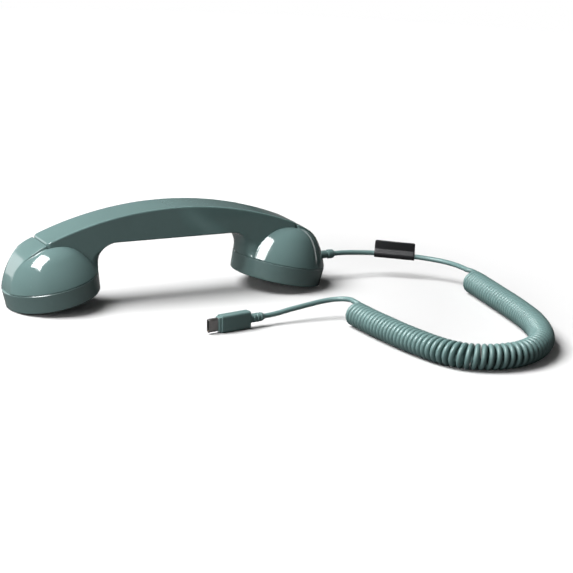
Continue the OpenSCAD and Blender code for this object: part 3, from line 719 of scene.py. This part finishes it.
def remap(tree, value, low, high, toLow=0.0, toHigh=1.0):
    node = tree.nodes.new("ShaderNodeMapRange")
    wire(tree, value, node.inputs["Value"])
    for key, number in (("From Min", low), ("From Max", high), ("To Min", toLow), ("To Max", toHigh)):
        node.inputs[key].default_value = number
    return node.outputs[0]


def blendColour(tree, share, a, b):
    node = tree.nodes.new("ShaderNodeMix")
    node.data_type = "RGBA"
    wire(tree, share, node.inputs["Factor"])
    colourSockets = [i for i in node.inputs if i.type == "RGBA"]
    for socket, value in zip(colourSockets, (a, b)):
        wire(tree, value, socket)
    return [o for o in node.outputs if o.type == "RGBA"][0]


def objectPlace(tree, scale=(1, 1, 1)):
    coordinates = tree.nodes.new("ShaderNodeTexCoord").outputs["Object"]
    stretch = tree.nodes.new("ShaderNodeMapping")
    stretch.inputs["Scale"].default_value = scale
    wire(tree, coordinates, stretch.inputs["Vector"])
    return stretch.outputs[0]


# Fine moulded texture with slow drifts of colour and gloss
def makeMouldedGrain():
    tree, given, out = newGroup("mouldedGrain", [
        ("Colour", "Color", (0.5, 0.5, 0.5, 1)), ("Drift", "Color", (0.4, 0.4, 0.4, 1)),
        ("Grain Scale", "Float", 900.0), ("Gloss", "Float", 0.2), ("Gloss Spread", "Float", 0.1)],
        [("Colour", "Color"), ("Roughness", "Float"), ("Height", "Float")])
    place = objectPlace(tree)
    drift = remap(tree, noise(tree, place, 22.0, 3.0), 0.35, 0.68)
    wire(tree, blendColour(tree, drift, given["Colour"], given["Drift"]), out["Colour"])
    patches = noise(tree, place, 60.0, 4.0, 0.6)
    spread = maths(tree, "MULTIPLY", patches, given["Gloss Spread"])
    wire(tree, maths(tree, "ADD", spread, given["Gloss"]), out["Roughness"])
    fine = noise(tree, place, given["Grain Scale"], 2.0)
    slow = maths(tree, "MULTIPLY", noise(tree, place, 45.0, 1.0), 2.5)
    wire(tree, maths(tree, "ADD", fine, slow), out["Height"])
    return tree


# Hairline scratches, rubbed edges and finger haze
def makeHandlingWear():
    tree, given, out = newGroup("handlingWear", [
        ("Colour", "Color", (0.5, 0.5, 0.5, 1)), ("Rubbed", "Color", (0.6, 0.6, 0.6, 1)),
        ("Roughness", "Float", 0.2), ("Edge", "Float", 0.5), ("Scratches", "Float", 0.5)],
        [("Colour", "Color"), ("Roughness", "Float"), ("Height", "Float")])
    shape = tree.nodes.new("ShaderNodeNewGeometry").outputs["Pointiness"]
    place = objectPlace(tree)
    edge = remap(tree, shape, 0.53, 0.62)
    broken = remap(tree, noise(tree, place, 350.0, 4.0, 0.7), 0.42, 0.66)
    edge = maths(tree, "MULTIPLY", maths(tree, "MULTIPLY", edge, broken, True), given["Edge"])
    lines = None
    for stretch in ((35, 900, 420), (420, 60, 900)):
        thread = noise(tree, objectPlace(tree, stretch), 1.0, 2.0, 0.4)
        fromLine = maths(tree, "ABSOLUTE", maths(tree, "SUBTRACT", thread, 0.5))
        thin = remap(tree, fromLine, 0.0, 0.012, 1.0, 0.0)
        lines = thin if lines is None else maths(tree, "MAXIMUM", lines, thin)
    sparse = remap(tree, noise(tree, place, 70.0, 2.0), 0.56, 0.66)
    lines = maths(tree, "MULTIPLY", maths(tree, "MULTIPLY", lines, sparse, True), given["Scratches"])
    haze = maths(tree, "MULTIPLY", remap(tree, noise(tree, place, 28.0, 5.0, 0.65), 0.5, 0.75), 0.06)
    wire(tree, blendColour(tree, edge, given["Colour"], given["Rubbed"]), out["Colour"])
    rough = maths(tree, "ADD", given["Roughness"], maths(tree, "MULTIPLY", lines, 0.18))
    wire(tree, maths(tree, "ADD", rough, maths(tree, "ADD", haze, maths(tree, "MULTIPLY", edge, 0.15))),
         out["Roughness"])
    wire(tree, maths(tree, "MULTIPLY", lines, -1.0), out["Height"])
    return tree


# Over and under threads
def makeWeave():
    tree, given, out = newGroup("threadWeave", [
        ("Colour", "Color", (0.1, 0.1, 0.1, 1)), ("Gap", "Color", (0.02, 0.02, 0.02, 1)),
        ("Threads per Metre", "Float", 2500.0)],
        [("Colour", "Color"), ("Height", "Float"), ("Mask", "Float")])
    parts = tree.nodes.new("ShaderNodeSeparateXYZ")
    wire(tree, objectPlace(tree), parts.inputs[0])
    waves = []
    flat = maths(tree, "ADD", parts.outputs["X"], maths(tree, "MULTIPLY", parts.outputs["Z"], 0.7))
    cross = maths(tree, "ADD", parts.outputs["Y"], maths(tree, "MULTIPLY", parts.outputs["Z"], 0.7))
    for value in (flat, cross):
        turn = maths(tree, "MULTIPLY", maths(tree, "MULTIPLY", value, given["Threads per Metre"]), math.pi)
        waves.append(maths(tree, "ABSOLUTE", maths(tree, "SINE", turn)))
    height = maths(tree, "MULTIPLY", waves[0], waves[1])
    fuzz = maths(tree, "MULTIPLY", noise(tree, objectPlace(tree), 4000.0, 3.0), 0.3)
    mask = remap(tree, height, 0.1, 0.5)
    wire(tree, blendColour(tree, mask, given["Gap"], given["Colour"]), out["Colour"])
    wire(tree, maths(tree, "ADD", height, fuzz), out["Height"])
    wire(tree, mask, out["Mask"])
    return tree


# Long fine lines left by rolling or turning
def makeBrushed():
    tree, given, out = newGroup("brushedLines", [
        ("Colour", "Color", (0.6, 0.6, 0.6, 1)), ("Shade", "Color", (0.4, 0.4, 0.4, 1)),
        ("Roughness", "Float", 0.25)],
        [("Colour", "Color"), ("Roughness", "Float"), ("Height", "Float")])
    lines = noise(tree, objectPlace(tree, (60, 900, 5200)), 1.0, 4.0, 0.6)
    spots = noise(tree, objectPlace(tree), 260.0, 4.0, 0.6)
    share = remap(tree, maths(tree, "MULTIPLY", lines, spots), 0.16, 0.42)
    wire(tree, blendColour(tree, share, given["Shade"], given["Colour"]), out["Colour"])
    rough = maths(tree, "ADD", given["Roughness"], maths(tree, "MULTIPLY", spots, 0.18))
    wire(tree, maths(tree, "ADD", rough, maths(tree, "MULTIPLY", lines, 0.08)), out["Roughness"])
    wire(tree, lines, out["Height"])
    return tree


# A little settled dust on what faces upwards
def makeDust():
    tree, given, out = newGroup("settledDust", [
        ("Colour", "Color", (0.5, 0.5, 0.5, 1)), ("Dust", "Color", (0.7, 0.7, 0.68, 1)),
        ("Roughness", "Float", 0.3), ("Amount", "Float", 0.1)],
        [("Colour", "Color"), ("Roughness", "Float")])
    parts = tree.nodes.new("ShaderNodeSeparateXYZ")
    wire(tree, tree.nodes.new("ShaderNodeNewGeometry").outputs["Normal"], parts.inputs[0])
    facing = remap(tree, parts.outputs["Z"], 0.2, 1.0)
    specks = remap(tree, noise(tree, objectPlace(tree), 1500.0, 5.0, 0.75), 0.52, 0.75)
    share = maths(tree, "MULTIPLY", maths(tree, "MULTIPLY", facing, specks, True), given["Amount"])
    wire(tree, blendColour(tree, share, given["Colour"], given["Dust"]), out["Colour"])
    wire(tree, maths(tree, "ADD", given["Roughness"], maths(tree, "MULTIPLY", share, 0.4)), out["Roughness"])
    return tree


mouldedGrain = makeMouldedGrain()
handlingWear = makeHandlingWear()
threadWeave = makeWeave()
brushedLines = makeBrushed()
settledDust = makeDust()


def startMaterial(name):
    material = bpy.data.materials.new(name)
    material.use_nodes = True
    tree = material.node_tree
    return material, tree, tree.nodes["Principled BSDF"]


def placeGroup(tree, group, values):
    node = tree.nodes.new("ShaderNodeGroup")
    node.node_tree = group
    for key, value in values.items():
        if isinstance(value, bpy.types.NodeSocket):
            wire(tree, value, node.inputs[key])
        elif isinstance(value, tuple):
            node.inputs[key].default_value = (*value, 1)
        else:
            node.inputs[key].default_value = value
    return node.outputs


def bumpFrom(tree, shader, height, strength, distance):
    bump = tree.nodes.new("ShaderNodeBump")
    bump.inputs["Strength"].default_value = strength
    bump.inputs["Distance"].default_value = distance
    wire(tree, height, bump.inputs["Height"])
    wire(tree, bump.outputs[0], shader.inputs["Normal"])


def shade(colour, amount):
    return tuple(min(1, c * amount) for c in colour)


# Moulded plastic or rubber: grain, wear, then dust
def mouldedMaterial(name, colour, gloss, spread=0.05, grain=900.0, depth=0.00001, edge=0.25,
                    scratches=0.4, dust=0.04, coat=0.0):
    material, tree, shader = startMaterial(name)
    skin = placeGroup(tree, mouldedGrain, {"Colour": colour, "Drift": shade(colour, 0.93),
                                           "Grain Scale": grain, "Gloss": gloss, "Gloss Spread": spread})
    worn = placeGroup(tree, handlingWear, {"Colour": skin["Colour"], "Rubbed": shade(colour, 1.35),
                                           "Roughness": skin["Roughness"], "Edge": edge,
                                           "Scratches": scratches})
    top = placeGroup(tree, settledDust, {"Colour": worn["Colour"], "Roughness": worn["Roughness"],
                                         "Amount": dust})
    wire(tree, top["Colour"], shader.inputs["Base Color"])
    wire(tree, top["Roughness"], shader.inputs["Roughness"])
    height = maths(tree, "ADD", skin["Height"], maths(tree, "MULTIPLY", worn["Height"], 0.4))
    bumpFrom(tree, shader, height, 0.35, depth)
    shader.inputs["Coat Weight"].default_value = coat
    shader.inputs["Coat Roughness"].default_value = 0.06
    return material


def metalMaterial(name, colour, roughness, depth=0.000015):
    material, tree, shader = startMaterial(name)
    skin = placeGroup(tree, brushedLines, {"Colour": colour, "Shade": shade(colour, 0.72),
                                           "Roughness": roughness})
    wire(tree, skin["Colour"], shader.inputs["Base Color"])
    wire(tree, skin["Roughness"], shader.inputs["Roughness"])
    shader.inputs["Metallic"].default_value = 1.0
    bumpFrom(tree, shader, skin["Height"], 0.3, depth)
    return material


def clothMaterial(name, colour, gap, threads, roughness, depth):
    material, tree, shader = startMaterial(name)
    cloth = placeGroup(tree, threadWeave, {"Colour": colour, "Gap": gap, "Threads per Metre": threads})
    worn = placeGroup(tree, handlingWear, {"Colour": cloth["Colour"], "Rubbed": shade(colour, 1.8),
                                           "Roughness": roughness, "Edge": 0.5, "Scratches": 0.2})
    wire(tree, worn["Colour"], shader.inputs["Base Color"])
    wire(tree, worn["Roughness"], shader.inputs["Roughness"])
    bumpFrom(tree, shader, cloth["Height"], 0.5, depth)
    return material


# Moulded ones: colour, roughness, its spread, grain scale, bump depth in metres, edge wear, scratches
finishes = {
    "sage_shell": mouldedMaterial("sageShell", (0.136, 0.218, 0.212), 0.07, coat=0.35),
    "sage_cap": mouldedMaterial("sageCap", (0.13, 0.2, 0.194), 0.14, coat=0.2),
    "sage_rubber": mouldedMaterial("sageRubber", (0.145, 0.232, 0.226), 0.34, 0.12, 1400.0, 0.00003, 0.5),
    "sage_cord": mouldedMaterial("sageCord", (0.16, 0.265, 0.258), 0.33, 0.1, 1600.0, 0.00002, 0.1, 0.3),
    "acoustic_cloth": clothMaterial("acousticCloth", (0.03, 0.03, 0.032), (0.004, 0.004, 0.004),
                                    3200.0, 0.8, 0.0001),
    "black_rubber": mouldedMaterial("blackRubber", (0.02, 0.02, 0.021), 0.5, 0.2, 1200.0, 0.00003),
    "black_label": clothMaterial("blackLabel", (0.016, 0.016, 0.018), (0.006, 0.006, 0.007),
                                 2400.0, 0.42, 0.00004),
    "white_plastic": mouldedMaterial("whitePlastic", (0.75, 0.73, 0.67), 0.35, 0.1),
    "board": mouldedMaterial("boardMask", (0.02, 0.12, 0.05), 0.3, 0.15, 2200.0, 0.00004, 0.6),
    "chip": mouldedMaterial("chipBlack", (0.015, 0.015, 0.016), 0.55, 0.15, 3000.0, 0.00002),
    "cone_paper": clothMaterial("conePaper", (0.05, 0.048, 0.045), (0.02, 0.02, 0.018),
                                900.0, 0.85, 0.0001),
    "red_wire": mouldedMaterial("redWire", (0.5, 0.02, 0.02), 0.35),
    "blue_wire": mouldedMaterial("blueWire", (0.02, 0.06, 0.5), 0.35),
    "pressed_steel": metalMaterial("pressedSteel", (0.5, 0.5, 0.5), 0.35),
    "magnet": metalMaterial("magnetNickel", (0.42, 0.42, 0.43), 0.3),
    "tinned_brass": metalMaterial("tinnedBrass", (0.62, 0.55, 0.42), 0.3),
    "capsule_metal": metalMaterial("capsuleMetal", (0.6, 0.6, 0.6), 0.28),
    "screw_steel": metalMaterial("screwSteel", (0.38, 0.38, 0.39), 0.3),
    "plug_steel": metalMaterial("plugSteel", (0.55, 0.53, 0.52), 0.2),
    "gold_plate": metalMaterial("goldPlate", (0.85, 0.6, 0.25), 0.2),
}
print("materials made")

# Each new piece, its finish and the frame nodes it stands for
newPieces = [
    (handlePiece, "sage_shell", ("handle_shell",)),
    (mouthDome, "sage_shell", ("mouth_dome",)),
    (earDome, "sage_shell", ("ear_dome",)),
    (cord, "sage_cord", ("cord_lead", "cord_coil", "cord_tail")),
    (bootPiece, "sage_rubber", ("cord_boot",)),
    (reliefPiece, "sage_rubber", ("plug_relief",)),
    (plugBody, "sage_rubber", ("plug_body",)),
    (plugShell, "plug_steel", ("plug_shell",)),
    (labelPiece, "black_label", ("cord_label",)),
]
for piece, slot, replaced in newPieces:
    piece.data.materials.append(finishes[slot])
    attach(piece, body)
    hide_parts(*replaced)

# The frame's own nodes: finish and softened edges, in mm
nodeEdges = {"ear_cap": 0.3, "mouth_cap": 0.3, "grip_cover": 0.35, "call_button": 0.45}
otherEdges = 0.12
bevelFrom = 50  # degrees
standsFor = {name for row in newPieces for name in row[2]}
slotOf = {row["node"]: row["material_slot"] for row in frame["record"]["subparts"]}
for name, node in nodes.items():
    if name in standsFor:
        continue
    node.data.materials.clear()
    node.data.materials.append(finishes[slotOf[name]])
    bevel = node.modifiers.new("edges", "BEVEL")
    bevel.width = nodeEdges.get(name, otherEdges) * mm
    bevel.segments = 3
    bevel.limit_method = "ANGLE"
    bevel.angle_limit = math.radians(bevelFrom)
    bevel.harden_normals = True
print("frame nodes finished")

# Floor and lights
studio = {
    "floorSize": 12,
    "floorSeen": 0.66,  # near the handset, where the light is strongest
    "floorFar": 10.0,
    "paleFrom": 0.03,  # squares of the distances between which it gets paler
    "paleTo": 2.5,
    "glowFrom": 0.8,  # metres from the middle of the handset
    "glowTo": 1.3,
    "floorBounce": 0.11,  # how pale the floor is to what stands on it
    "ambient": 0.06,
}


def mixShaders(tree, share, a, b):
    mix = tree.nodes.new("ShaderNodeMixShader")
    for socket, value in zip(mix.inputs, (share, a, b)):
        wire(tree, value, socket)
    return mix.outputs[0]


def makeFloor(setup):
    mesh = bpy.data.meshes.new("floor")
    half = setup["floorSize"] / 2
    corners = [(-half, -half, 0), (half, -half, 0), (half, half, 0), (-half, half, 0)]
    mesh.from_pydata(corners, [], [(0, 1, 2, 3)])
    floor = bpy.data.objects.new("floor", mesh)
    bpy.context.scene.collection.objects.link(floor)
    material, tree, shader = startMaterial("floorPaint")
    shader.inputs["Roughness"].default_value = 0.9
    shader.inputs["Specular IOR Level"].default_value = 0.0
    seen = tree.nodes.new("ShaderNodeLightPath").outputs["Is Camera Ray"]
    reach = tree.nodes.new("ShaderNodeVectorMath")
    reach.operation = "LENGTH"
    wire(tree, objectPlace(tree), reach.inputs[0])
    paler = remap(tree, maths(tree, "POWER", reach.outputs["Value"], 2.0), setup["paleFrom"], setup["paleTo"],
                  setup["floorSeen"], setup["floorFar"])
    shaded = maths(tree, "SUBTRACT", 1.0, seen)
    tone = maths(tree, "ADD", maths(tree, "MULTIPLY", paler, seen),
                 maths(tree, "MULTIPLY", shaded, setup["floorBounce"]))
    wire(tree, tone, shader.inputs["Base Color"])
    # far from the lights it glows white to the camera, and from below it isn't there
    glow = tree.nodes.new("ShaderNodeEmission")
    wire(tree, seen, glow.inputs["Strength"])
    far = remap(tree, reach.outputs["Value"], setup["glowFrom"], setup["glowTo"])
    under = tree.nodes.new("ShaderNodeNewGeometry").outputs["Backfacing"]
    surface = mixShaders(tree, maths(tree, "MULTIPLY", far, seen), shader.outputs[0], glow.outputs[0])
    clear = tree.nodes.new("ShaderNodeBsdfTransparent")
    surface = mixShaders(tree, under, surface, clear.outputs[0])
    wire(tree, surface, tree.nodes["Material Output"].inputs["Surface"])
    mesh.materials.append(material)


def softbox(name, place, aim, size, brightness, diffuse=True, glossy=True, upright=(0, 0, 1)):
    light = bpy.data.lights.new(name, "AREA")
    light.shape = "RECTANGLE"
    light.size, light.size_y = size
    light.energy = brightness * math.pi * size[0] * size[1]
    holder = bpy.data.objects.new(name, light)
    back = (Vector(place) - Vector(aim)).normalized()
    right = Vector(upright).cross(back).normalized()
    turned = Matrix((right, back.cross(right), back)).transposed().to_4x4()
    holder.matrix_world = Matrix.Translation(place) @ turned
    holder.visible_diffuse = diffuse
    holder.visible_glossy = glossy
    bpy.context.scene.collection.objects.link(holder)


makeFloor(studio)
# Name, place, aim, size in metres and brightness
softbox("key", (-0.5, 0.12, 0.95), (0.06, -0.03, 0), (0.8, 0.65), 15, glossy=False)
softbox("window", (-0.36, -0.13, 0.52), (-0.02, 0, 0.03), (0.27, 0.42), 24, diffuse=False)
softbox("leftFill", (-0.9, -0.5, 0.3), (0, 0, 0.02), (0.5, 0.5), 5, glossy=False)
softbox("backWall", (-0.35, 1.0, 0.18), (-0.05, 0, 0.05), (1.1, 0.36), 1.7, diffuse=False)
for shift in (0, 0.05):
    softbox("edgeStrip", (0.72, 0.17 + shift, 0.24), (0, 0, 0.03), (0.012, 0.62), 4, diffuse=False,
            upright=(-0.3, 0.7, 0.65))


# White to the camera, dim to everything else
def makeWorld(setup):
    world = bpy.data.worlds.new("studio")
    world.use_nodes = True
    tree = world.node_tree
    sky = tree.nodes["Background"]
    sky.inputs["Color"].default_value = (1, 1, 1, 1)
    seen = tree.nodes.new("ShaderNodeLightPath").outputs["Is Camera Ray"]
    wire(tree, remap(tree, seen, 0.0, 1.0, setup["ambient"], 1.0), sky.inputs["Strength"])
    bpy.context.scene.world = world


makeWorld(studio)
bpy.context.scene.view_settings.view_transform = "Standard"
print("studio set")
